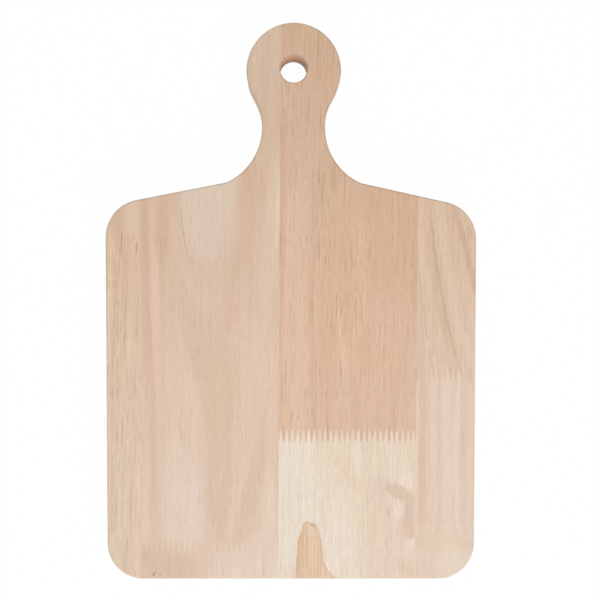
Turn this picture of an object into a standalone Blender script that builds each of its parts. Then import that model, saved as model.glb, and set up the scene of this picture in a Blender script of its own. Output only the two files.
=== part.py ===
"""A paddle-shaped serving board, made of rubberwood strips that are glued edge to edge.

Each strip is finger-jointed from shorter pieces. The glued panel was routed to its outline, so the
strips and their glue end flush with it. The board lies on its underside, with its handle towards +Y
and the middle of its outline at the origin. Lengths are in metres.
"""

import math

import bmesh
import bpy
import numpy as np
from mathutils import Vector

# Body of the board: its length runs from the foot edge to where the right shoulder's line meets its
# side. The left shoulder meets its own side a little higher, and slopes less
BOARD_WIDTH = 0.2540
BODY_LENGTH = 0.2560
THICKNESS = 0.0150
FOOT_CORNER_RADIUS = 0.0250
SHOULDER_CORNER_RADIUS = 0.0262
RIGHT_SHOULDER_SLOPE = math.radians(12.5)
LEFT_SHOULDER_SLOPE = math.radians(11.0)
LEFT_SHOULDER_RISE = 0.0019

# Handle: it stands a little to the right of the board's middle
HANDLE_LENGTH = 0.1260
HANDLE_OFFSET = 0.0019
HEAD_RADIUS = 0.0322
NECK_RADIUS = 0.0414
NECK_FOOT_WIDTH = 0.0920
NECK_FOOT_FILLET = 0.0120

# Hanging hole, bored through the handle's round head
HOLE_DIAMETER = 0.0184
HOLE_FROM_TOP = 0.0311

# Rounding of the edges, with the hole's rims, that takes off their sharp arrises
ARRIS_RADIUS = 0.0015

# Strips of the panel: what is left of the outer two, how far the glue line between the inner two
# lies to the left of the handle's middle, and how far the strips are turned against the outline
OUTER_LEFT_WIDTH = 0.0238
OUTER_RIGHT_WIDTH = 0.0403
GLUE_LINE_FROM_HANDLE = 0.0097
STRIP_TURN = math.radians(0.28)

# Lengths of the shorter pieces in the strips, to the middle of their finger joints
OUTER_LEFT_TOP_LENGTH = 0.0212
INNER_LEFT_FOOT_LENGTH = 0.0226
INNER_RIGHT_FOOT_LENGTH = 0.0998
OUTER_RIGHT_FOOT_LENGTH = 0.0336
OUTER_RIGHT_MIDDLE_LENGTH = 0.1107

# Finger joints, as the cutter leaves them
FINGER_PITCH = 0.0038
FINGER_LENGTH = 0.0090
FINGER_TIP = 0.0006

# Glue, and the clearance between it and the wood on either side
GLUE_FILM = 0.0001
GLUE_CLEARANCE = 0.0001

# Fineness of the round stretches, and how far the rough pieces run past what they are cut to
ARC_STEP = math.radians(5)
ARRIS_STEPS = 3
CUT_MARGIN = 0.010

# Places that follow from the sizes
BOARD_LENGTH = BODY_LENGTH + HANDLE_LENGTH
FOOT_Y = -BOARD_LENGTH / 2
RIGHT_SHOULDER_Y = FOOT_Y + BODY_LENGTH
LEFT_SHOULDER_Y = RIGHT_SHOULDER_Y + LEFT_SHOULDER_RISE
HEAD_Y = BOARD_LENGTH / 2 - HEAD_RADIUS
HOLE_Y = BOARD_LENGTH / 2 - HOLE_FROM_TOP
LEFT_GLUE_X = -BOARD_WIDTH / 2 + OUTER_LEFT_WIDTH
MIDDLE_GLUE_X = HANDLE_OFFSET - GLUE_LINE_FROM_HANDLE
RIGHT_GLUE_X = BOARD_WIDTH / 2 - OUTER_RIGHT_WIDTH
JOINT_SPACE = GLUE_FILM / 2 + GLUE_CLEARANCE

# Colours of the wood and the glue, as 8-bit sRGB
WOOD_COLOURS = {
    "outer_left_main": (220, 193, 169),
    "outer_left_top": (215, 189, 163),
    "inner_left_foot": (224, 202, 184),
    "inner_left_main": (220, 193, 171),
    "inner_right_foot": (231, 213, 195),
    "inner_right_main": (216, 182, 156),
    "outer_right_foot": (229, 210, 191),
    "outer_right_middle": (227, 203, 184),
    "outer_right_top": (218, 191, 168),
}
GLUE_COLOUR = (226, 208, 182)
WOOD_ROUGHNESS = 0.62
GLUE_ROUGHNESS = 0.45


def clear_scene():
    for old in list(bpy.data.objects):
        bpy.data.objects.remove(old, do_unlink=True)


def new_collection(name):
    collection = bpy.data.collections.new(name)
    bpy.context.scene.collection.children.link(collection)
    return collection


def linear(channel):
    """An 8-bit sRGB channel as the linear value that a shader takes."""
    share = channel / 255
    if share <= 0.04045:
        return share / 12.92
    return ((share + 0.055) / 1.055) ** 2.4


def new_material(name, colour, roughness):
    material = bpy.data.materials.new(name)
    material.use_nodes = True
    shader = material.node_tree.nodes["Principled BSDF"]
    shader.inputs["Base Color"].default_value = (*map(linear, colour), 1)
    shader.inputs["Roughness"].default_value = roughness
    shader.inputs["Metallic"].default_value = 0
    return material


def angle_of(direction):
    return math.atan2(direction.y, direction.x)


def arc(centre, radius, start, end):
    """Points along an arc, both ends included."""
    steps = max(1, math.ceil(abs(end - start) / ARC_STEP))
    angles = [start + (end - start) * step / steps for step in range(steps + 1)]
    return [centre + radius * Vector((math.cos(a), math.sin(a))) for a in angles]


def circles_cross(first, first_radius, second, second_radius):
    """Where two circles cross, on the left as seen from the first centre to the second."""
    between = second - first
    along = (between.length_squared + first_radius**2 - second_radius**2) / (2 * between.length)
    aside = math.sqrt(first_radius**2 - along**2)
    ahead = between.normalized()
    return first + along * ahead + aside * Vector((-ahead.y, ahead.x))


def fillet_centre(corner, line, normal, round_centre, round_radius, fillet):
    """Centre of a fillet that lies on a line and inside a circle, beside the corner where they meet."""
    start = corner + fillet * normal - round_centre
    back = start.dot(line)
    reach = math.sqrt(back**2 - start.length_squared + (round_radius - fillet) ** 2)
    return round_centre + start + (-back - reach) * line


def half_outline(handle_x, shoulder_y, slope):
    """One half of the outline, to the right, from the top of the head to the foot edge."""
    half_width = BOARD_WIDTH / 2
    head = Vector((handle_x, HEAD_Y))
    line = Vector((math.cos(slope), -math.sin(slope)))
    normal = Vector((math.sin(slope), math.cos(slope)))

    # The neck's curve leaves the head smoothly and runs down to a softened corner on the shoulder
    neck_foot_x = handle_x + NECK_FOOT_WIDTH / 2
    neck_foot = Vector((neck_foot_x, shoulder_y + (half_width - neck_foot_x) * math.tan(slope)))
    neck = circles_cross(head, HEAD_RADIUS + NECK_RADIUS, neck_foot, NECK_RADIUS)
    fillet = fillet_centre(neck_foot, line, normal, neck, NECK_RADIUS, NECK_FOOT_FILLET)
    head_end = angle_of(neck - head)
    neck_end = angle_of(fillet - neck) + math.tau

    # Both corners of the body are tangent arcs
    shoulder_drop = SHOULDER_CORNER_RADIUS * (1 / math.cos(slope) - math.tan(slope))
    shoulder = Vector((half_width - SHOULDER_CORNER_RADIUS, shoulder_y - shoulder_drop))
    foot = Vector((half_width - FOOT_CORNER_RADIUS, FOOT_Y + FOOT_CORNER_RADIUS))

    return [
        *arc(head, HEAD_RADIUS, math.pi / 2, head_end),
        *arc(neck, NECK_RADIUS, head_end + math.pi, neck_end)[1:],
        *arc(fillet, NECK_FOOT_FILLET, neck_end, math.pi * 3 / 2 - slope)[1:],
        *arc(shoulder, SHOULDER_CORNER_RADIUS, math.pi / 2 - slope, 0),
        *arc(foot, FOOT_CORNER_RADIUS, 0, -math.pi / 2),
    ]


def board_outline():
    right = half_outline(HANDLE_OFFSET, RIGHT_SHOULDER_Y, RIGHT_SHOULDER_SLOPE)
    left = half_outline(-HANDLE_OFFSET, LEFT_SHOULDER_Y, LEFT_SHOULDER_SLOPE)
    return right + [Vector((-point.x, point.y)) for point in left[:0:-1]]


def hole_outline():
    return arc(Vector((HANDLE_OFFSET, HOLE_Y)), HOLE_DIAMETER / 2, 0, math.tau)[:-1]


def finger_edge(left, right, joint_y, crest_x, shift):
    """The end of a finger-jointed piece, from left to right, moved square to its faces by shift."""
    flank = math.atan2(FINGER_PITCH / 2 - FINGER_TIP, FINGER_LENGTH)
    wider = shift * (1 / math.cos(flank) - math.tan(flank))
    crest = FINGER_TIP / 2 + wider
    valley = FINGER_TIP / 2 - wider
    top = joint_y + FINGER_LENGTH / 2 + shift
    bottom = joint_y - FINGER_LENGTH / 2 + shift
    first = math.floor((left - crest_x) / FINGER_PITCH) - 1
    last = math.ceil((right - crest_x) / FINGER_PITCH) + 1
    across = []
    along = []
    for finger in range(first, last + 1):
        x = crest_x + finger * FINGER_PITCH
        gap_x = x + FINGER_PITCH / 2
        across += [x - crest, x + crest, gap_x - valley, gap_x + valley]
        along += [top, top, bottom, bottom]
    inside = [x for x in across if left < x < right]
    stops = [left, *inside, right]
    return [Vector((x, y)) for x, y in zip(stops, np.interp(stops, across, along))]


def straight_edge(left, right, y):
    return [Vector((left, y)), Vector((right, y))]


def extruded(name, outlines, bottom, top):
    """A closed solid of one flat outline, with any others as holes in it, between two heights."""
    curve = bpy.data.curves.new(name, "CURVE")
    curve.dimensions = "2D"
    curve.fill_mode = "BOTH"
    curve.extrude = (top - bottom) / 2
    for outline in outlines:
        spline = curve.splines.new("POLY")
        spline.points.add(len(outline) - 1)
        for point, place in zip(spline.points, outline):
            point.co = (place.x, place.y, 0, 1)
        spline.use_cyclic_u = True
    guide = bpy.data.objects.new(name + "_guide", curve)
    guide.location.z = (top + bottom) / 2
    bpy.context.scene.collection.objects.link(guide)
    bpy.context.view_layer.update()
    mesh = bpy.data.meshes.new_from_object(guide.evaluated_get(bpy.context.evaluated_depsgraph_get()))
    mesh.name = name
    shape = bmesh.new()
    shape.from_mesh(mesh)
    bmesh.ops.remove_doubles(shape, verts=shape.verts, dist=1e-7)
    bmesh.ops.dissolve_limit(shape, angle_limit=math.radians(0.5), verts=shape.verts, edges=shape.edges)
    bmesh.ops.recalc_face_normals(shape, faces=shape.faces)
    shape.to_mesh(mesh)
    shape.free()
    solid = bpy.data.objects.new(name, mesh)
    solid.matrix_world = guide.matrix_world
    bpy.data.objects.remove(guide, do_unlink=True)
    bpy.data.curves.remove(curve)
    return solid


def as_cutter(cutter, collection):
    cutter.hide_render = True
    cutter.display_type = "WIRE"
    collection.objects.link(cutter)
    return cutter


def boolean(target, other, operation):
    cut = target.modifiers.new(operation.lower() + "_" + other.name, "BOOLEAN")
    cut.operation = operation
    cut.solver = "EXACT"
    cut.object = other


def make_blank(collection):
    """The whole board as one shape, bored and with its edges rounded."""
    solid = extruded("board_blank", [board_outline(), hole_outline()], 0, THICKNESS)
    blank = as_cutter(solid, collection)
    arris = blank.modifiers.new("arris", "BEVEL")
    arris.width = ARRIS_RADIUS
    arris.segments = ARRIS_STEPS
    arris.limit_method = "ANGLE"
    arris.angle_limit = math.radians(60)
    arris.use_clamp_overlap = False
    arris.loop_slide = False
    return blank


def make_piece(name, outline, colour, roughness, panel, blank, collection):
    """One piece of the panel, cut off flush with the blank's faces and edges."""
    piece = extruded(name, [outline], -CUT_MARGIN, THICKNESS + CUT_MARGIN)
    piece.parent = panel
    piece.data.materials.append(new_material(name, colour, roughness))
    collection.objects.link(piece)
    boolean(piece, blank, "INTERSECT")
    bpy.context.view_layer.update()
    graph = bpy.context.evaluated_depsgraph_get()
    finished = bpy.data.meshes.new_from_object(piece.evaluated_get(graph))
    finished.name = name
    finished.shade_smooth()
    finished.set_sharp_from_angle(angle=math.radians(40))
    piece.modifiers.clear()
    piece.data = finished


def make_strip(left, right, crest_x, pieces, joints, shared):
    """One strip: its wooden pieces from foot to head, and the glue in the finger joints between them."""
    reach = BOARD_LENGTH / 2 + CUT_MARGIN
    for place, name in enumerate(pieces):
        low = straight_edge(left, right, -reach)
        high = straight_edge(left, right, reach)
        if place > 0:
            low = finger_edge(left, right, joints[place - 1][1], crest_x, JOINT_SPACE)
        if place < len(joints):
            high = finger_edge(left, right, joints[place][1], crest_x, -JOINT_SPACE)
        make_piece(name, low + high[::-1], WOOD_COLOURS[name], WOOD_ROUGHNESS, *shared)
    for name, joint_y in joints:
        low = finger_edge(left, right, joint_y, crest_x, -GLUE_FILM / 2)
        high = finger_edge(left, right, joint_y, crest_x, GLUE_FILM / 2)
        make_piece(name, low + high[::-1], GLUE_COLOUR, GLUE_ROUGHNESS, *shared)


def make_glue_line(name, middle, low, high, shared):
    """The film of glue between two strips."""
    left = middle - GLUE_FILM / 2
    right = middle + GLUE_FILM / 2
    outline = straight_edge(left, right, low) + straight_edge(left, right, high)[::-1]
    make_piece(name, outline, GLUE_COLOUR, GLUE_ROUGHNESS, *shared)


def make_outer_left_strip(shared):
    edge = -BOARD_WIDTH / 2
    joints = [("outer_left_finger_glue", LEFT_SHOULDER_Y - OUTER_LEFT_TOP_LENGTH)]
    pieces = ["outer_left_main", "outer_left_top"]
    make_strip(edge - CUT_MARGIN, LEFT_GLUE_X - JOINT_SPACE, edge, pieces, joints, shared)


def make_inner_left_strip(shared):
    left = LEFT_GLUE_X + JOINT_SPACE
    right = MIDDLE_GLUE_X - JOINT_SPACE
    joints = [("inner_left_finger_glue", FOOT_Y + INNER_LEFT_FOOT_LENGTH)]
    make_strip(left, right, (left + right) / 2, ["inner_left_foot", "inner_left_main"], joints, shared)


def make_inner_right_strip(shared):
    left = MIDDLE_GLUE_X + JOINT_SPACE
    right = RIGHT_GLUE_X - JOINT_SPACE
    joints = [("inner_right_finger_glue", FOOT_Y + INNER_RIGHT_FOOT_LENGTH)]
    make_strip(left, right, (left + right) / 2, ["inner_right_foot", "inner_right_main"], joints, shared)


def make_outer_right_strip(shared):
    edge = BOARD_WIDTH / 2
    foot_joint_y = FOOT_Y + OUTER_RIGHT_FOOT_LENGTH
    joints = [
        ("outer_right_lower_finger_glue", foot_joint_y),
        ("outer_right_upper_finger_glue", foot_joint_y + OUTER_RIGHT_MIDDLE_LENGTH),
    ]
    pieces = ["outer_right_foot", "outer_right_middle", "outer_right_top"]
    make_strip(RIGHT_GLUE_X + JOINT_SPACE, edge + CUT_MARGIN, edge, pieces, joints, shared)


def make_glue_lines(shared):
    """The three glue lines. The hanging hole cuts through the middle one, which leaves two films of it."""
    reach = BOARD_LENGTH / 2 + CUT_MARGIN
    make_glue_line("left_glue_line", LEFT_GLUE_X, -reach, reach, shared)
    make_glue_line("middle_glue_line", MIDDLE_GLUE_X, -reach, HOLE_Y - GLUE_CLEARANCE, shared)
    make_glue_line("middle_glue_line_head", MIDDLE_GLUE_X, HOLE_Y + GLUE_CLEARANCE, reach, shared)
    make_glue_line("right_glue_line", RIGHT_GLUE_X, -reach, reach, shared)


clear_scene()
board = new_collection("serving_board")
cutters = new_collection("cutters")
panel = bpy.data.objects.new("glued_panel", None)
panel.rotation_euler.z = -STRIP_TURN
board.objects.link(panel)
blank = make_blank(cutters)
shared = (panel, blank, board)
make_outer_left_strip(shared)
make_inner_left_strip(shared)
make_inner_right_strip(shared)
make_outer_right_strip(shared)
make_glue_lines(shared)
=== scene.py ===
"""A paddle-shaped serving board of finger-jointed rubberwood, lying on a white floor, seen from above."""

import math

import bpy
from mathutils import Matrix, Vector


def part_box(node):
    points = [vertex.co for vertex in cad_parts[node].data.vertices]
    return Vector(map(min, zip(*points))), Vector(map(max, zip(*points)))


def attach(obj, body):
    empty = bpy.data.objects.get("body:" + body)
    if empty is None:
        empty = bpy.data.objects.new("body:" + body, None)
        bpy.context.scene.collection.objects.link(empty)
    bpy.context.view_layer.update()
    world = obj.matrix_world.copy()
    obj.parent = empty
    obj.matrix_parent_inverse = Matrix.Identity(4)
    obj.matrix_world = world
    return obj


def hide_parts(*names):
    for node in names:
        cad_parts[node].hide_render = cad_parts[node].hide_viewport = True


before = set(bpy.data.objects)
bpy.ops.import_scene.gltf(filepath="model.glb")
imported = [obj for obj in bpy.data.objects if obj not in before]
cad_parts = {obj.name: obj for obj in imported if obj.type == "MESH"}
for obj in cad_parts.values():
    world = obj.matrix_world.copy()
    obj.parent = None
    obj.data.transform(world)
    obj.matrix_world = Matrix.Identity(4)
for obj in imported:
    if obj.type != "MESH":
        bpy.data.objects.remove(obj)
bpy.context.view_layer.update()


# Outer left strip, main piece: a narrow strip of rubberwood, yellowish tan and full of open vessel
# lines that lean with its grain. It was planed and sanded with the panel, and its right edge is glued.
STRIP_TURN = math.radians(0.28)
MM_PER_M = 1000

PALE_FIBRE = (1.090, 1.095, 1.100, 1)
DARK_FIBRE = (0.904, 0.892, 0.876, 1)
PALE_BAND = (1.022, 1.026, 1.034, 1)
DARK_BAND = (0.972, 0.962, 0.948, 1)
PINK_CAST = (1.012, 0.990, 0.996, 1)
YELLOW_CAST = (0.996, 1.006, 0.978, 1)
VESSEL_BROWN = (0.54, 0.44, 0.36, 1)
END_GRAIN_BROWN = (0.98, 0.96, 0.94, 1)
# Painted shade for the rounded edges, which turn away from the light from above.
ARRIS_PAINTED_SHADE = (0.87, 0.91, 0.94, 1)


def linear(red, green, blue):
    """An 8-bit sRGB colour as the linear colour that a shader takes."""
    shares = (channel / 255 for channel in (red, green, blue))
    return (*(s / 12.92 if s <= 0.04045 else ((s + 0.055) / 1.055) ** 2.4 for s in shares), 1)


def wire(tree, kind, inputs, **options):
    """Adds a shader node, sets its options, and fills its inputs with values or with other outputs."""
    made = tree.nodes.new("ShaderNode" + kind)
    for option, value in options.items():
        setattr(made, option, value)
    for socket, value in inputs.items():
        if isinstance(value, bpy.types.NodeSocket):
            tree.links.new(value, made.inputs[socket])
        else:
            made.inputs[socket].default_value = value
    return made


def reckon(tree, operation, *values):
    """One sum on numbers."""
    return wire(tree, "Math", dict(enumerate(values)), operation=operation).outputs[0]


def ramp(tree, value, start, end, most=1.0):
    """Rises smoothly from 0 at start to most at end."""
    limits = {"From Min": start, "From Max": end, "To Min": 0.0, "To Max": most}
    return wire(tree, "MapRange", {"Value": value, **limits}, interpolation_type="SMOOTHSTEP").outputs[0]


def blend(tree, share, under, over, blend_type="MIX"):
    """Two colours mixed, or the second multiplied into the first."""
    made = wire(tree, "Mix", {0: share, 6: under, 7: over}, data_type="RGBA", blend_type=blend_type)
    return made.outputs[2]


def streaks(tree, place, width, length, seed, detail=2.0):
    """Noise drawn out along the grain into streaks of about this width and length, from 0 to 1."""
    squeezed = wire(tree, "Mapping", {"Vector": place, "Scale": (1 / width, 1 / length, 1 / width)})
    noise = {"Vector": squeezed.outputs[0], "W": seed, "Scale": 1.0, "Detail": detail}
    return wire(tree, "TexNoise", noise, noise_dimensions="4D").outputs[0]


def swing(tree, noise, reach):
    """Noise from 0 to 1 as a shift to either side, at most half of reach."""
    return reckon(tree, "MULTIPLY", reckon(tree, "SUBTRACT", noise, 0.5), reach)


def new_group(name, takes, gives):
    """An empty node group with these number inputs and outputs, and the sockets of its two ends."""
    group = bpy.data.node_groups.new(name, "ShaderNodeTree")
    for socket in takes:
        group.interface.new_socket(socket, in_out="INPUT", socket_type="NodeSocketFloat")
    for socket in gives:
        group.interface.new_socket(socket, in_out="OUTPUT", socket_type="NodeSocketFloat")
    start = group.nodes.new("NodeGroupInput").outputs
    end = group.nodes.new("NodeGroupOutput").inputs
    return group, start, end


def make_grain():
    """Where a point lies in the grain, in millimetres: across it, along it, and above the underside.

    The grain wanders a little to either side. Fray and Lump are noises about 0, which make the ends
    and the sides of the figure uneven.
    """
    gives = ("Across", "Along", "Height", "Fray", "Lump")
    group, given, result = new_group("grain", ("Seed", "Lean"), gives)
    place = wire(group, "TexCoord", {}).outputs["Object"]
    turn = {"Vector": place, "Rotation": (0, 0, STRIP_TURN), "Scale": (MM_PER_M,) * 3}
    place = wire(group, "Mapping", turn).outputs[0]
    across, along, height = wire(group, "SeparateXYZ", {0: place}).outputs
    leaning = reckon(group, "MULTIPLY", along, given["Lean"])
    slow = swing(group, streaks(group, place, 30, 160, given["Seed"], 1.0), 4.0)
    quick = swing(group, streaks(group, place, 4.0, 110, given["Seed"], 1.0), 1.0)
    wander = reckon(group, "SUBTRACT", reckon(group, "ADD", slow, quick), leaning)
    group.links.new(reckon(group, "ADD", across, wander), result["Across"])
    group.links.new(along, result["Along"])
    group.links.new(height, result["Height"])
    group.links.new(swing(group, streaks(group, place, 1.1, 260, given["Seed"], 2.0), 2.0), result["Fray"])
    group.links.new(swing(group, streaks(group, place, 7, 36, given["Seed"], 2.0), 2.0), result["Lump"])
    return group


def make_oval():
    """How far out of an oval a point lies, 1 on its line. It can lean, bow, tilt or be square-ended."""
    places = ("Across", "Along", "Fray", "Lump", "Middle", "Rise", "Half Width", "Half Length")
    shapes = ("Lean", "Bow", "Tilt", "Power", "Fraying", "Lumping")
    group, given, result = new_group("oval", places + shapes, ("Ratio",))
    along = reckon(group, "MULTIPLY_ADD", given["Fray"], given["Fraying"], given["Along"])
    off = reckon(group, "SUBTRACT", given["Across"], given["Middle"])
    rise = reckon(group, "SUBTRACT", along, given["Rise"])
    rise = reckon(group, "MULTIPLY_ADD", off, given["Tilt"], rise)
    lean = reckon(group, "MULTIPLY", rise, given["Lean"])
    line = reckon(group, "MULTIPLY_ADD", reckon(group, "MULTIPLY", rise, rise), given["Bow"], lean)
    aside = reckon(group, "ABSOLUTE", reckon(group, "SUBTRACT", off, line))
    aside = reckon(group, "DIVIDE", aside, given["Half Width"])
    ahead = reckon(group, "DIVIDE", reckon(group, "ABSOLUTE", rise), given["Half Length"])
    powers = [reckon(group, "POWER", side, given["Power"]) for side in (aside, ahead)]
    root = reckon(group, "DIVIDE", 1.0, given["Power"])
    ratio = reckon(group, "POWER", reckon(group, "ADD", *powers), root)
    uneven = reckon(group, "MULTIPLY_ADD", given["Lump"], given["Lumping"], ratio)
    group.links.new(uneven, result["Ratio"])
    return group


def make_vessels():
    """Vessel lines: short, fine, dark dashes along the grain, each of its own thickness and depth."""
    takes = ("Across", "Along", "Height", "Seed", "Spacing", "Length", "Share")
    group, given, result = new_group("vessels", takes, ("Dark",))
    apart = reckon(group, "DIVIDE", given["Across"], given["Spacing"])
    apart = reckon(group, "MULTIPLY_ADD", given["Seed"], 7.31, apart)
    along = reckon(group, "DIVIDE", given["Along"], given["Length"])
    below = reckon(group, "DIVIDE", given["Height"], reckon(group, "MULTIPLY", given["Spacing"], 2.0))
    cell = wire(group, "CombineXYZ", {0: apart, 1: along, 2: below}).outputs[0]
    scatter = {"Vector": cell, "Scale": 1.0, "Randomness": 1.0}
    cells = wire(group, "TexVoronoi", scatter, distance="CHEBYCHEV")
    chance, strength, _ = wire(group, "SeparateColor", {0: cells.outputs["Color"]}).outputs
    dash = ramp(group, cells.outputs["Distance"], 0.26, 0.14)
    shown = ramp(group, reckon(group, "SUBTRACT", given["Share"], chance), -0.05, 0.05)
    depth = reckon(group, "POWER", strength, 1.8)
    dark = reckon(group, "MULTIPLY", reckon(group, "MULTIPLY", dash, shown), depth)
    group.links.new(dark, result["Dark"])
    return group


grain_group = make_grain()
oval_group = make_oval()
vessel_group = make_vessels()


class Rubberwood:
    """The wood of one piece, as a solid texture: every place and size is in millimetres of the board."""

    def __init__(self, name, seed, upper, lower, reach, lean=0.0, bands=1.0):
        self.material = bpy.data.materials.new(name)
        self.material.use_nodes = True
        self.tree = self.material.node_tree
        self.seed = seed
        self.grain = self.grouped(grain_group, {"Seed": seed, "Lean": lean})
        place = (self.grain[side] for side in ("Across", "Along", "Height"))
        self.place = wire(self.tree, "CombineXYZ", dict(enumerate(place))).outputs[0]
        # The colour fades from upper to lower along the piece. This is partly the wood's own tone and
        # partly painted shade: the upper end, towards the head, is made darker where less light falls.
        fade = ramp(self.tree, self.grain["Along"], *reach)
        self.colour = blend(self.tree, fade, linear(*upper), linear(*lower))
        band = streaks(self.tree, self.place, 7, 220, seed + 3.7, 3.0)
        self.shade(ramp(self.tree, band, 0.32, 0.68), PALE_BAND, DARK_BAND, bands)
        cast = streaks(self.tree, self.place, 6, 45, seed + 6.4, 2.0)
        self.shade(ramp(self.tree, cast, 0.30, 0.70), PINK_CAST, YELLOW_CAST)

    def grouped(self, group, values):
        """Adds a node group, fills its inputs, and gives its outputs."""
        made = self.tree.nodes.new("ShaderNodeGroup")
        made.node_tree = group
        for socket, value in values.items():
            if isinstance(value, bpy.types.NodeSocket):
                self.tree.links.new(value, made.inputs[socket])
            else:
                made.inputs[socket].default_value = value
        return made.outputs

    def shade(self, share, pale, dark, strength=1.0):
        """Makes the colour paler where share is 0 and darker where it is 1."""
        tone = blend(self.tree, share, pale, dark)
        self.colour = blend(self.tree, strength, self.colour, tone, "MULTIPLY")

    def oval(self, middle, half, lean=0.0, bow=0.0, tilt=0.0, power=2.0, fraying=9.0, lumping=0.2):
        """The ratio of an oval around middle (across, along), half as wide and long as half."""
        values = {side: self.grain[side] for side in ("Across", "Along", "Fray", "Lump")}
        places = {"Middle": middle[0], "Rise": middle[1], "Half Width": half[0], "Half Length": half[1]}
        shapes = {"Lean": lean, "Bow": bow, "Tilt": tilt, "Power": power}
        edges = {"Fraying": fraying, "Lumping": lumping}
        return self.grouped(oval_group, {**values, **places, **shapes, **edges})["Ratio"]

    def patch(self, tint, strength, middle, half, soft=0.4, **shape):
        """Lays a soft-edged patch, band or line of another tone in the figure."""
        ratio = self.oval(middle, half, **shape)
        self.lay(ramp(self.tree, ratio, 1 + soft, 1 - soft, strength), tint)

    def line(self, tint, strength, middle, half, lean=0.0, bow=0.0):
        """Lays one thin growth or vessel line, fainter in places."""
        ratio = self.oval(middle, half, lean=lean, bow=bow, power=4, fraying=2, lumping=0.4)
        gaps = streaks(self.tree, self.place, 1.5, 10, self.seed + 9.6)
        share = ramp(self.tree, gaps, 0.30, 0.60, strength)
        self.lay(reckon(self.tree, "MULTIPLY", ramp(self.tree, ratio, 1.6, 0.4), share), tint)

    def lay(self, share, tint):
        """Turns the colour to tint by share."""
        self.colour = blend(self.tree, share, self.colour, linear(*tint))

    def vessels(self, spacing, length, share, offset):
        """One set of vessel lines, this far apart and this long."""
        values = {side: self.grain[side] for side in ("Across", "Along", "Height")}
        sizes = {"Seed": self.seed + offset, "Spacing": spacing, "Length": length, "Share": share}
        return self.grouped(vessel_group, {**values, **sizes})["Dark"]

    def finish(self, vessels=0.5, strength=0.6, fibres=0.6, long=1.0):
        """Adds fibres, vessel lines, end grain, painted shade on the rounded edges, and the sanded
        surface's feel.
        """
        tree = self.tree
        streak = streaks(tree, self.place, 0.8, 44, self.seed + 5.1, 1.0)
        fibre = streaks(tree, self.place, 0.6, 8, self.seed + 8.3, 2.0)
        self.shade(ramp(tree, streak, 0.25, 0.75), PALE_FIBRE, DARK_FIBRE, 0.45 * fibres)
        self.shade(ramp(tree, fibre, 0.25, 0.75), PALE_FIBRE, DARK_FIBRE, 0.7 * fibres)
        crowd = streaks(tree, self.place, 12, 90, self.seed + 2.9, 2.0)
        share = reckon(tree, "MULTIPLY", ramp(tree, crowd, 0.15, 0.75), 2 * vessels)
        large = reckon(tree, "MULTIPLY", self.vessels(0.9, 44, share, 0.0), long)
        small = self.vessels(0.75, 15, share, 4.0)
        dark = reckon(tree, "MAXIMUM", large, reckon(tree, "MULTIPLY", small, 0.8))
        mask = reckon(tree, "MULTIPLY", dark, strength)
        self.colour = blend(tree, mask, self.colour, VESSEL_BROWN, "MULTIPLY")
        normal = wire(tree, "NewGeometry", {}).outputs["Normal"]
        _, lengthwise, upward = wire(tree, "SeparateXYZ", {0: normal}).outputs
        facing = reckon(tree, "ABSOLUTE", lengthwise)
        self.colour = blend(tree, ramp(tree, facing, 0.7, 1.0), self.colour, END_GRAIN_BROWN, "MULTIPLY")
        # Painted shade: where the surface tilts over the rounded edges, the colour is made darker and
        # greyer, as if those edges were in shade.
        upright = reckon(tree, "ABSOLUTE", upward)
        painted_arris_shade = reckon(tree, "MULTIPLY", ramp(tree, upright, 0.995, 0.85), ramp(tree, upright, 0.0, 0.25))
        self.colour = blend(tree, painted_arris_shade, self.colour, ARRIS_PAINTED_SHADE, "MULTIPLY")
        relief = reckon(tree, "MULTIPLY_ADD", fibre, 0.3, reckon(tree, "MULTIPLY", dark, -1.0))
        bump = wire(tree, "Bump", {"Strength": 0.35, "Distance": 0.00008, "Height": relief})
        roughness = wire(tree, "MapRange", {"Value": streak, "To Min": 0.56, "To Max": 0.72})
        shader = tree.nodes["Principled BSDF"]
        shader.inputs["Specular IOR Level"].default_value = 0.2
        tree.links.new(self.colour, shader.inputs["Base Color"])
        tree.links.new(roughness.outputs[0], shader.inputs["Roughness"])
        tree.links.new(bump.outputs[0], shader.inputs["Normal"])
        return self.material


def merged_copy(node, ending):
    """A copy of a solid's mesh with its loose faces merged and its flat faces whole."""
    piece = bpy.data.objects.new(node + ending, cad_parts[node].data.copy())
    piece.data.materials.clear()
    bpy.context.collection.objects.link(piece)
    bpy.ops.object.select_all(action="DESELECT")
    piece.select_set(True)
    bpy.context.view_layer.objects.active = piece
    bpy.ops.mesh.customdata_custom_splitnormals_clear()
    bpy.ops.object.mode_set(mode="EDIT")
    bpy.ops.mesh.select_mode(type="FACE")
    bpy.ops.mesh.select_all(action="SELECT")
    bpy.ops.mesh.remove_doubles(threshold=1e-6)
    bpy.ops.mesh.dissolve_limited(angle_limit=math.radians(1))
    bpy.ops.mesh.select_all(action="DESELECT")
    bpy.ops.object.mode_set(mode="OBJECT")
    return piece


def soften(piece):
    """Shades the rounded edges smoothly, and keeps the flat faces flat."""
    bpy.ops.object.shade_smooth_by_angle(angle=math.radians(40))
    flats = piece.modifiers.new("flats", "WEIGHTED_NORMAL")
    flats.keep_sharp = True
    flats.weight = 100
    bpy.ops.object.modifier_apply(modifier="flats")


def place_wood(node, material):
    """Makes one wooden piece from its solid, in its own wood."""
    piece = merged_copy(node, "_wood")
    soften(piece)
    piece.data.materials.append(material)
    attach(piece, "root")
    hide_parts(node)


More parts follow.
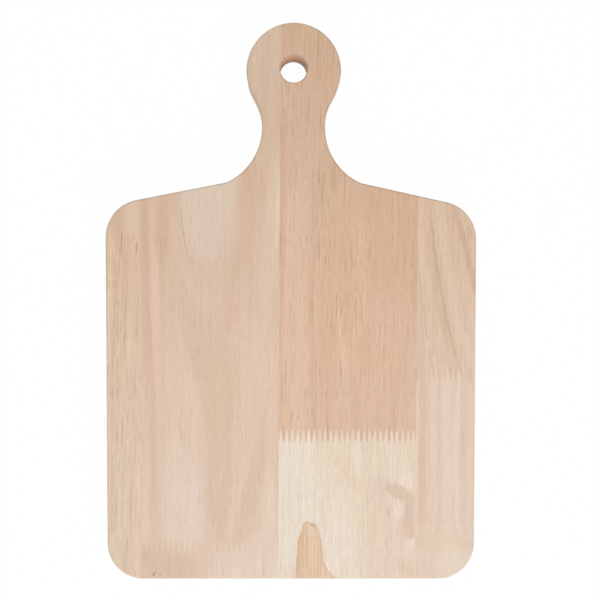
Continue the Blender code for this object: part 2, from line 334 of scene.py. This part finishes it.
wood = Rubberwood("outer_left_main_wood", 1.3, (217, 188, 161), (222, 199, 179), (40, -110), lean=0.03)
wood.patch((226, 203, 180), 0.6, (-125.0, -60), (2.2, 110), power=4)
wood.patch((226, 201, 176), 0.5, (-109.0, -60), (2.5, 80), power=4)
wood.line((186, 152, 124), 0.7, (-117.6, 48), (0.5, 9))
wood.line((200, 168, 141), 0.6, (-120.7, 1), (0.5, 47), lean=0.04, bow=0.0007)
wood.line((204, 172, 145), 0.6, (-114.0, -25), (0.5, 40), lean=0.03)
wood.line((206, 175, 149), 0.6, (-110.5, -110), (0.5, 50), lean=0.03)
place_wood("outer_left_main", wood.finish(vessels=0.8, strength=0.9, fibres=1.0))


# Outer left strip, top piece: a short offcut of smoother wood with a pale yellow flame, finger-jointed
# to the main piece below it. The board's upper left corner is rounded in it.
wood = Rubberwood("outer_left_top_wood", 2.1, (214, 187, 161), (216, 188, 161), (66, 44))
wood.patch((224, 200, 171), 0.7, (-108.0, 58), (4.2, 17), soft=0.5)
wood.patch((209, 179, 154), 0.5, (-118.5, 55), (2.5, 20), soft=0.6)
place_wood("outer_left_top", wood.finish(vessels=0.3, strength=0.6, fibres=0.5))


# Inner left strip, main piece: a wide strip cut near the middle of its log, so its growth layers show
# as nested arches, pale grey inside and browner towards the sides. It runs up into the handle.
PALE_ARCH = (1.022, 1.030, 1.048, 1)
DARK_ARCH = (0.975, 0.953, 0.930, 1)
ARCH_AXIS = -57.6
ARCH_BEND = -0.117

wood = Rubberwood("inner_left_main_wood", 3.4, (213, 185, 162), (223, 197, 176), (120, -80))
aside = reckon(wood.tree, "SUBTRACT", wood.grain["Across"], ARCH_AXIS)
aside = reckon(wood.tree, "MULTIPLY", aside, aside)
arch = reckon(wood.tree, "MULTIPLY_ADD", aside, ARCH_BEND, wood.grain["Along"])
arch = reckon(wood.tree, "MULTIPLY_ADD", wood.grain["Fray"], 9.0, arch)
arch = reckon(wood.tree, "MULTIPLY_ADD", wood.grain["Lump"], 6.0, arch)


def layer(tint, strength, inner, outer, soft, reach=900):
    """Lays one growth layer of the nested arches, between two points on their axis."""
    within = ramp(wood.tree, arch, inner + soft, inner - soft)
    within = reckon(wood.tree, "MULTIPLY", within, ramp(wood.tree, arch, outer - soft, outer + soft))
    near = ramp(wood.tree, aside, 1.4 * reach, 0.6 * reach, strength)
    wood.lay(reckon(wood.tree, "MULTIPLY", within, near), tint)


rings = reckon(wood.tree, "MULTIPLY", arch, 0.12)
layers = wire(wood.tree, "TexNoise", {"W": rings, "Scale": 1.0, "Detail": 2.0}, noise_dimensions="1D")
below = ramp(wood.tree, arch, 34, 20)
around = reckon(wood.tree, "MULTIPLY", below, ramp(wood.tree, arch, -110, -60, 0.5))
layer((218, 190, 168), 0.85, -6, -54, 7)
wood.shade(ramp(wood.tree, layers.outputs[0], 0.30, 0.70), PALE_ARCH, DARK_ARCH, around)
wood.patch((206, 167, 140), 0.42, (-99.6, 14), (2.8, 62), lean=-0.041, power=4, soft=0.7)
wood.patch((206, 167, 142), 0.28, (-94.9, -104), (3.2, 64), lean=-0.041, power=4, soft=0.8)
wood.patch((226, 197, 177), 0.6, (-92.4, -3), (2.8, 78), lean=-0.041, power=4, soft=0.6)
wood.patch((212, 180, 154), 0.8, (-88.9, 52), (4.6, 24), power=3, soft=0.5)
wood.patch((215, 183, 158), 0.8, (-32.5, 52), (8.5, 38), lean=0.2, power=3, soft=0.5)
layer((215, 188, 169), 0.5, 24, 18, 2.5, reach=240)
wood.patch((222, 198, 180), 0.6, (-70.0, 16), (3.8, 15), lean=-0.3, soft=0.7, fraying=6)
wood.patch((221, 197, 179), 0.6, (-58.5, 2.5), (8.5, 6.5), soft=0.7, fraying=7)
heart = wood.oval((-57.0, 84), (17.6, 53), power=3.2, fraying=7, lumping=0.25)
wood.lay(ramp(wood.tree, heart, 1.45, 0.75, 0.95), (220, 198, 180))
wood.patch((221, 187, 164), 0.5, (-40.5, -8), (4.0, 11), soft=0.7)
wood.patch((225, 200, 181), 0.7, (-68.0, -60), (4.5, 18), lean=-0.4, soft=0.6)
wood.patch((223, 198, 175), 0.8, (-13.6, 42), (5.6, 62), lean=0.09, power=4)
wood.line((233, 210, 188), 0.75, (-8.7, 55), (0.8, 34))
wood.line((194, 160, 137), 0.7, (-73.8, 47), (0.45, 17), lean=-0.15, bow=0.0025)
wood.patch((211, 186, 165), 0.6, (-20.0, 163), (9.0, 28), soft=0.6)
wood.patch((218, 189, 164), 0.6, (-49.3, -62), (11.6, 30), lean=0.06, power=3, soft=0.6)
wood.patch((226, 203, 186), 0.6, (-66.9, -76), (5.8, 20), soft=0.6)
wood.patch((227, 202, 180), 0.5, (-24.0, -41), (12.0, 24), soft=0.6)
wood.patch((226, 205, 188), 0.95, (-71.5, -139), (16.0, 42), power=2.2, soft=0.6)
wood.patch((228, 209, 195), 0.5, (-67.0, -141), (6.5, 20), soft=0.7)
wood.patch((219, 191, 168), 0.75, (-50.9, -132), (7.0, 42), power=3, soft=0.6)
wood.patch((228, 204, 184), 0.7, (-33.6, -130), (3.2, 34), lean=0.235, power=3, soft=0.8)
wood.patch((218, 190, 168), 0.7, (-26.8, -128), (4.6, 38), lean=0.236, power=3, soft=0.6)
wood.patch((229, 207, 190), 0.8, (-14.3, -146), (5.0, 26), power=3, soft=0.5)
wood.patch((227, 204, 188), 0.7, (-20.0, -167), (11.0, 9), soft=0.6, fraying=3)
place_wood("inner_left_main", wood.finish(vessels=0.5, strength=0.5, fibres=0.65, long=0.6))


# Inner left strip, foot piece: an offcut that fills the strip up to the foot edge, brownish pink on
# the left and pale on the right, with a few pin knots at the edge. Fingers join it to the main piece.
wood = Rubberwood("inner_left_foot_wood", 4.2, (225, 204, 186), (227, 207, 190), (-165, -190))
wood.patch((217, 189, 167), 0.95, (-91.0, -182), (31.0, 30), power=4, soft=0.6)
wood.patch((223, 198, 178), 0.8, (-68.0, -168), (13.0, 7), soft=0.6, fraying=4)
wood.patch((214, 185, 163), 0.5, (-97.0, -174), (5.5, 10), fraying=4)
wood.patch((150, 112, 86), 0.9, (-94.3, -188.0), (0.6, 1.1), soft=0.5, fraying=0.5)
wood.patch((168, 130, 104), 0.7, (-92.6, -186.6), (0.4, 0.8), soft=0.5, fraying=0.5)
wood.patch((176, 138, 112), 0.7, (-89.8, -188.2), (0.6, 0.6), soft=0.5, fraying=0.5)
place_wood("inner_left_foot", wood.finish(vessels=0.3, strength=0.6, fibres=0.6))


# Inner right strip, main piece: orange-tan wood with dense fine vessel lines, a little darker along
# its glued left edge. It runs from the finger joint up through the neck, and the hole is bored in it.
wood = Rubberwood("inner_right_main_wood", 5.6, (208, 175, 149), (219, 185, 159), (170, -60))
wood.patch((214, 182, 156), 0.6, (7.0, 118), (16.0, 46), soft=0.6)
wood.patch((222, 191, 166), 0.75, (3.8, -5), (8.8, 95), power=4)
wood.patch((225, 196, 172), 0.5, (3.6, -35), (8.4, 40), power=3, soft=0.5)
wood.patch((213, 178, 150), 0.5, (62.0, 40), (26.0, 45), power=3, soft=0.6)
wood.patch((224, 189, 161), 0.65, (48.6, 22), (4.6, 36), power=3, soft=0.6)
wood.patch((222, 188, 166), 0.5, (66.0, -14), (15.0, 18), power=3, soft=0.6)
wood.patch((228, 197, 170), 0.65, (37.5, -43), (1.6, 46), lean=-0.118, power=3, soft=0.6)
wood.patch((222, 188, 167), 0.6, (46.0, -72), (40.0, 26), power=3, soft=0.5)
wood.patch((224, 195, 168), 0.7, (6.5, -77), (8.0, 13), soft=0.6, fraying=4)
wood.patch((211, 177, 152), 0.5, (84.5, 41.5), (2.2, 45), power=3)
wood.patch((222, 192, 171), 0.6, (85.0, -57), (3.4, 34), power=3, soft=0.5)
wood.patch((212, 177, 150), 0.5, (16.7, -62), (2.0, 32), power=3, soft=0.6)
wood.patch((213, 178, 152), 0.5, (27.0, -70), (1.4, 26), power=3, soft=0.6)
wood.patch((212, 177, 150), 0.5, (44.0, -70), (1.8, 26), power=3, soft=0.6)
wood.patch((213, 180, 156), 0.5, (71.7, -72), (2.0, 24), power=3, soft=0.6)
wood.patch((209, 175, 151), 0.6, (-6.1, 72), (1.4, 78), power=4, soft=0.6)
wood.line((176, 144, 118), 0.7, (16.8, 172), (0.45, 17))
wood.line((180, 148, 122), 0.6, (0.7, 125), (0.45, 14))
wood.line((170, 136, 110), 0.7, (18.7, 88), (0.5, 6))
wood.patch((236, 214, 190), 0.8, (5.6, -82.4), (1.2, 0.7), soft=0.5, fraying=0.5)
wood.patch((220, 199, 182), 0.6, (-5.6, 142), (0.6, 8), lean=-0.05, power=4, soft=0.5, fraying=1)
place_wood("inner_right_main", wood.finish(vessels=0.7, strength=0.8, fibres=0.95, long=0.85))


# Inner right strip, foot piece: very pale sapwood around a flame of brown heartwood with a darker
# rim, and a soft clouded patch at the right. Its long fingers stand out against the tan wood above.
wood = Rubberwood("inner_right_foot_wood", 6.8, (231, 214, 194), (230, 213, 195), (-95, -185))
wood.patch((234, 221, 206), 0.8, (4.0, -135), (14.0, 50), power=3)
wood.patch((234, 220, 206), 0.8, (32.0, -163), (9.0, 30), power=3, soft=0.6)
wood.patch((230, 208, 184), 0.75, (41.0, -118), (5.0, 18), lean=-0.85, soft=0.7, fraying=4)
wood.patch((229, 207, 184), 0.6, (54.5, -152), (6.5, 19), soft=0.7, fraying=5)
wood.patch((234, 218, 200), 0.8, (46.3, -104), (4.5, 9), soft=0.5, fraying=4)
wood.line((216, 194, 158), 0.5, (41.5, -106), (0.6, 8))
wood.patch((227, 203, 184), 0.7, (70.0, -163), (11.0, 28), power=3, soft=0.6)
wood.patch((235, 217, 197), 0.9, (79.5, -121.5), (6.0, 7.0), soft=0.4, fraying=1)
wood.patch((225, 199, 180), 0.8, (86.0, -159), (9.0, 9), soft=0.5, fraying=2)
wood.patch((226, 204, 187), 0.85, (64.5, -127.5), (10.5, 9.0), soft=0.4, fraying=1)
blot = wood.oval((75.5, -130.0), (9.4, 6.0), tilt=0.42, power=1.7, fraying=1.6, lumping=0.35)
column = wood.oval((83.0, -146), (5.0, 17), power=3, fraying=2)
cloud = reckon(wood.tree, "SMOOTH_MIN", blot, column, 0.3)
wood.lay(ramp(wood.tree, cloud, 1.18, 0.72), (220, 195, 175))
wood.lay(ramp(wood.tree, blot, 1.0, 0.5, 0.6), (219, 194, 173))
wood.patch((231, 205, 186), 0.8, (87.2, -145.5), (2.4, 7), soft=0.5, fraying=2)
wood.patch((234, 216, 200), 0.95, (74.8, -141.5), (2.8, 6.0), power=3, soft=0.4, fraying=1)
wood.patch((214, 176, 158), 0.6, (68.5, -144), (1.0, 3.0), soft=0.6, fraying=1)
wood.patch((233, 215, 197), 0.8, (82.8, -165), (4.2, 3.0), soft=0.5, fraying=1)
wood.patch((224, 198, 178), 0.7, (82.9, -183), (5.0, 7.5), soft=0.6, fraying=2)
body = wood.oval((13.6, -200), (9.0, 46.5), power=3.0, fraying=1.5, lumping=0.08)
cap = wood.oval((11.2, -158), (3.4, 7.6), fraying=1.0, lumping=0.08)
bend = {"lean": -1.72, "bow": 0.0329}
flare = wood.oval((39.2, -199.6), (7.0, 25), power=2.5, fraying=1.2, lumping=0.1, **bend)
flame = reckon(wood.tree, "SMOOTH_MIN", body, cap, 0.1)
flame = reckon(wood.tree, "SMOOTH_MIN", flame, flare, 0.2)
uneven = ramp(wood.tree, streaks(wood.tree, wood.place, 2.5, 6, 1.9), 0.30, 0.60)
rim = reckon(wood.tree, "MULTIPLY", ramp(wood.tree, flame, 1.04, 1.0), uneven)
wood.lay(rim, (203, 163, 132))
inside = ramp(wood.tree, flame, 1.0, 0.94)
wood.lay(inside, (229, 202, 175))
stripes = ramp(wood.tree, streaks(wood.tree, wood.place, 1.1, 50, 7.3), 0.42, 0.58, 0.6)
wood.lay(reckon(wood.tree, "MULTIPLY", inside, stripes), (214, 179, 147))
edge = ramp(wood.tree, wood.oval((5.0, -178), (3.2, 27), lean=0.10, power=3), 1.3, 0.7, 0.6)
wood.lay(reckon(wood.tree, "MULTIPLY", inside, edge), (214, 179, 146))
place_wood("inner_right_foot", wood.finish(vessels=0.4, strength=0.45, fibres=1.15, long=0.5))


# Outer right strip, foot piece: a pale offcut with yellowish streaks, finger-jointed to the middle
# piece. The board's lower right corner is rounded in it.
wood = Rubberwood("outer_right_foot_wood", 7.7, (225, 202, 183), (226, 207, 189), (-160, -180))
wood.patch((229, 210, 184), 0.7, (108.7, -162), (4.0, 12), soft=0.6, fraying=4)
wood.patch((225, 200, 182), 0.7, (95.0, -184), (7.0, 7), soft=0.6, fraying=3)
wood.patch((231, 213, 193), 0.6, (112.0, -178), (8.0, 10), soft=0.6, fraying=4)
place_wood("outer_right_foot", wood.finish(vessels=0.25, strength=0.5, fibres=0.7))


# Outer right strip, middle piece: pinkish wood in straight, faint, lengthwise bands, with a bright
# line and a darker band along the glue at its left edge. Finger joints hold it at both ends.
wood = Rubberwood("outer_right_middle_wood", 8.9, (224, 198, 179), (225, 201, 182), (-50, -150))
wood.patch((218, 191, 170), 0.75, (90.9, -100), (2.3, 70), power=4, soft=0.6)
wood.patch((230, 206, 187), 0.7, (98.4, -100), (2.2, 70), power=4, soft=0.6)
wood.patch((222, 198, 179), 0.6, (102.5, -100), (1.2, 70), power=4, soft=0.6)
wood.patch((230, 208, 191), 0.8, (108.0, -100), (3.3, 70), power=4, soft=0.5)
wood.patch((226, 204, 188), 0.6, (111.9, -100), (1.0, 70), power=4, soft=0.6)
wood.patch((233, 210, 194), 0.8, (115.3, -100), (1.7, 70), power=4, soft=0.5)
wood.patch((224, 198, 179), 0.75, (119.6, -100), (2.0, 70), power=4, soft=0.5)
wood.patch((229, 204, 185), 0.6, (124.0, -100), (1.8, 70), power=4, soft=0.5)
wood.line((233, 211, 195), 0.9, (87.4, -95), (0.7, 50))
place_wood("outer_right_middle", wood.finish(vessels=0.3, strength=0.5, fibres=0.7))


# Outer right strip, top piece: tan wood crossed by slanting growth lines, one of them dark and sharp,
# with a pale band along the glue. The board's upper right corner is rounded in it.
wood = Rubberwood("outer_right_top_wood", 9.5, (217, 189, 165), (221, 195, 173), (60, -40))
wood.patch((223, 196, 170), 0.8, (90.5, 50), (4.2, 34), power=4)
wood.patch((212, 182, 158), 0.6, (99.0, 18), (3.6, 56), lean=-0.197, bow=0.0008, power=4)
wood.patch((224, 200, 176), 0.6, (109.5, 15), (3.5, 60), lean=-0.197, bow=0.0008, power=4)
wood.patch((207, 175, 151), 0.85, (119.3, 39), (1.9, 36), lean=-0.27, bow=-0.001, power=4, lumping=0.1)
wood.line((192, 160, 136), 0.7, (103.0, 10.5), (0.5, 62), lean=-0.197, bow=0.00083)
wood.line((200, 168, 144), 0.4, (91.7, -12), (0.5, 36), lean=-0.156, bow=0.00098)
wood.line((196, 165, 142), 0.6, (122.5, 50), (0.5, 8), lean=-0.475)
place_wood("outer_right_top", wood.finish(vessels=0.5, strength=0.5, fibres=0.9))


# Glue: thin films of wood glue, which dry clear enough to take on the tone of the wood beside them. Three
# lines run between the strips, the middle one cut in two by the hole, and a film lies in each finger joint.
GLUE_THICKENING = 0.0001
SQUARE_ON = 0.995

glue = bpy.data.materials.new("dried_glue")
glue.use_nodes = True
glue_place = wire(glue.node_tree, "TexCoord", {}).outputs["Object"]
glue_place = wire(glue.node_tree, "Mapping", {"Vector": glue_place, "Scale": (MM_PER_M,) * 3}).outputs[0]
thin = streaks(glue.node_tree, glue_place, 4, 9, 2.2, 3.0)
thin = ramp(glue.node_tree, thin, 0.35, 0.65)
glue_colour = blend(glue.node_tree, thin, linear(224, 200, 172), linear(206, 174, 146))
across, along, _ = wire(glue.node_tree, "SeparateXYZ", {0: glue_place}).outputs
at_foot = ramp(glue.node_tree, along, -82, -92)
at_left = ramp(glue.node_tree, across, -8, -12)
foot_colour = blend(glue.node_tree, at_left, linear(232, 212, 194), linear(221, 195, 173))
foot_share = reckon(glue.node_tree, "MULTIPLY", at_foot, 0.9)
glue_colour = blend(glue.node_tree, foot_share, glue_colour, foot_colour)
glue_shader = glue.node_tree.nodes["Principled BSDF"]
glue_shader.inputs["Roughness"].default_value = 0.45
glue.node_tree.links.new(glue_colour, glue_shader.inputs["Base Color"])


def place_glue(node, is_side):
    """Makes one film from its solid, and thickens it until it meets the wood on both sides."""
    film = merged_copy(node, "_film")
    for face in film.data.polygons:
        face.select = is_side(face.normal)
    bpy.ops.object.mode_set(mode="EDIT")
    bpy.ops.transform.shrink_fatten(value=GLUE_THICKENING, use_even_offset=True)
    bpy.ops.object.mode_set(mode="OBJECT")
    film.data.materials.append(glue)
    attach(film, "root")
    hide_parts(node)
    return film


for node in ("left_glue_line", "middle_glue_line", "middle_glue_line_head", "right_glue_line"):
    place_glue(node, lambda normal: abs(normal.x) > SQUARE_ON)

for joint in ("outer_left", "inner_left", "inner_right", "outer_right_lower", "outer_right_upper"):
    node = joint + "_finger_glue"
    film = place_glue(node, lambda normal: abs(normal.x) < SQUARE_ON and abs(normal.z) < 0.05)
    low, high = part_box(node)
    for vertex in film.data.vertices:
        vertex.co.x = min(max(vertex.co.x, low.x), high.x)


# Floor: a plain white sheet under the board. It shines white to the camera and in reflections, and
# keeps a little of the board's shadow.
FLOOR_SIZE = 6.0
FLOOR_GAP = 0.0003
FLOOR_GLOW = 0.97


def seen_directly(tree):
    """1 for what the camera sees, straight or in gloss and glass, and 0 for the light that falls."""
    path = wire(tree, "LightPath", {}).outputs
    mirrored = reckon(tree, "MAXIMUM", path["Is Glossy Ray"], path["Is Transmission Ray"])
    return reckon(tree, "MAXIMUM", path["Is Camera Ray"], mirrored)


bpy.ops.object.select_all(action="DESELECT")
bpy.ops.mesh.primitive_plane_add(size=FLOOR_SIZE, location=(0, 0, -FLOOR_GAP))
floor = bpy.context.object
floor.name = "floor"
sheet = bpy.data.materials.new("white_sheet")
sheet.use_nodes = True
sheet.node_tree.nodes.remove(sheet.node_tree.nodes["Principled BSDF"])
matt = wire(sheet.node_tree, "BsdfDiffuse", {"Color": (0.95, 0.95, 0.95, 1)})
glow = wire(sheet.node_tree, "Emission", {"Color": (1, 1, 1, 1), "Strength": 1.0})
share = reckon(sheet.node_tree, "MULTIPLY", seen_directly(sheet.node_tree), FLOOR_GLOW)
both = wire(sheet.node_tree, "MixShader", {0: share, 1: matt.outputs[0], 2: glow.outputs[0]})
sheet.node_tree.links.new(both.outputs[0], sheet.node_tree.nodes["Material Output"].inputs["Surface"])
floor.data.materials.append(sheet)


# Studio: a pale surround with two large soft lamps, the stronger one low on the foot side and a little
# to the right, the weaker one across from it.
SURROUND = 0.64
LAMP_SIZE = 2.4
LAMPS = {
    "key_lamp": (86, Vector((1.0, -3.4, 1.9))),
    "fill_lamp": (29, Vector((-1.2, 2.4, 2.8))),
}

world = bpy.data.worlds.new("studio")
world.use_nodes = True
bpy.context.scene.world = world
background = world.node_tree.nodes["Background"]
background.inputs["Color"].default_value = (1, 1, 1, 1)
level = reckon(world.node_tree, "MULTIPLY_ADD", seen_directly(world.node_tree), 1 - SURROUND, SURROUND)
world.node_tree.links.new(level, background.inputs["Strength"])

for name, (power, place) in LAMPS.items():
    lamp = bpy.data.lights.new(name, "AREA")
    lamp.size = LAMP_SIZE
    lamp.energy = power
    stand = bpy.data.objects.new(name, lamp)
    stand.location = place
    stand.rotation_euler = place.to_track_quat("Z", "Y").to_euler()
    bpy.context.collection.objects.link(stand)


# Camera: about 0.4 m above the middle of the board, looking down and tipped very slightly to the foot.
CAMERA_PLACE = (-0.00743, 0.0121, 0.4238)
CAMERA_TIP = math.radians(-1.335)
CAMERA_LENS = 35.82
CAMERA_SHIFT = 20 / 600

lens = bpy.data.cameras.new("camera")
lens.lens = CAMERA_LENS
lens.sensor_width = 36
lens.shift_x = CAMERA_SHIFT
lens.clip_start = 0.01
camera = bpy.data.objects.new("camera", lens)
camera.location = CAMERA_PLACE
camera.rotation_euler.x = CAMERA_TIP
bpy.context.collection.objects.link(camera)
bpy.context.scene.camera = camera
bpy.context.scene.view_settings.view_transform = "Standard"
